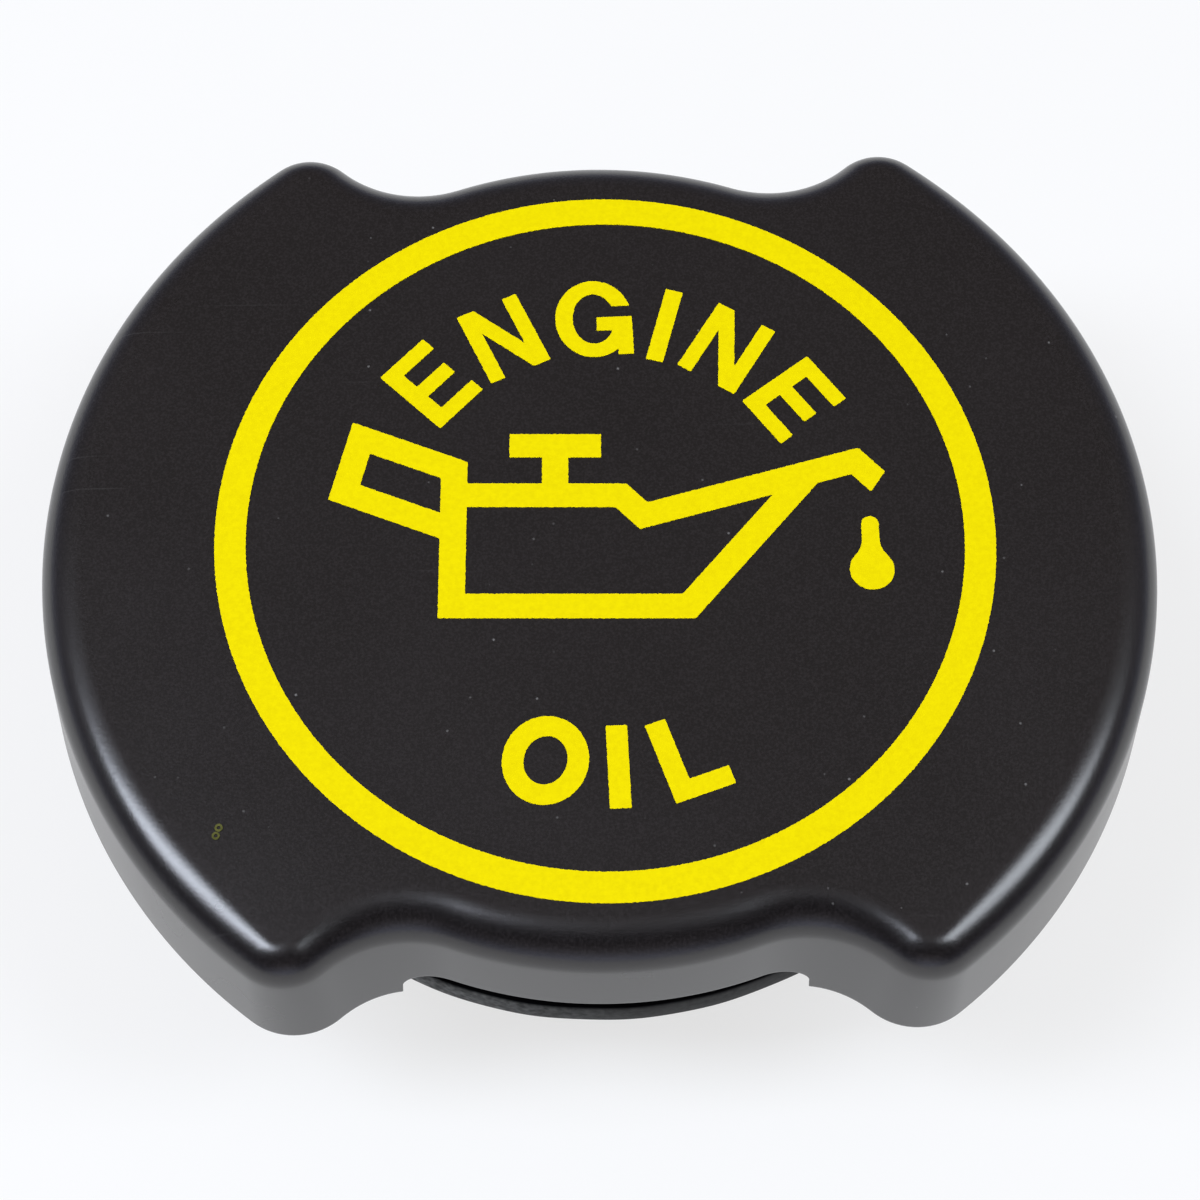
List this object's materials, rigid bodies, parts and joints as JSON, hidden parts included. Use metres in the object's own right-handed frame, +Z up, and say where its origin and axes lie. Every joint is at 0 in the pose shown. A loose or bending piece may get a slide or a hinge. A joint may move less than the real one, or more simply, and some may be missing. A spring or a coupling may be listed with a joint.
{
  "type": "oil filler cap",
  "caption": "Black plastic oil filler cap with a lobed grip, a yellow printed oil can pictogram, a rubber gasket and a bayonet boss.",
  "frame": {"origin": "on the cap's axis, at the open end of the boss, which is the lowest point as the cap lies top up", "axes": "+X along the two long lobes, towards the right of the legend; +Y towards the top of the legend; +Z up, out of the printed face"},
  "size_m": [0.07, 0.0574, 0.0263],
  "materials": {
    "grip_plastic": "satin, fine grain",
    "insert_plastic": "satin",
    "gasket_rubber": "matte",
    "print_ink": "printed ink, satin"
  },
  "bodies": {
    "root": {"outer_cap": "grip_plastic", "bayonet_insert": "insert_plastic", "sealing_gasket": "gasket_rubber", "printed_ring": "print_ink", "printed_oil_can": "print_ink", "printed_oil_drop": "print_ink", "printed_engine_letters": "print_ink", "printed_oil_letters": "print_ink"}
  },
  "joints": []
}
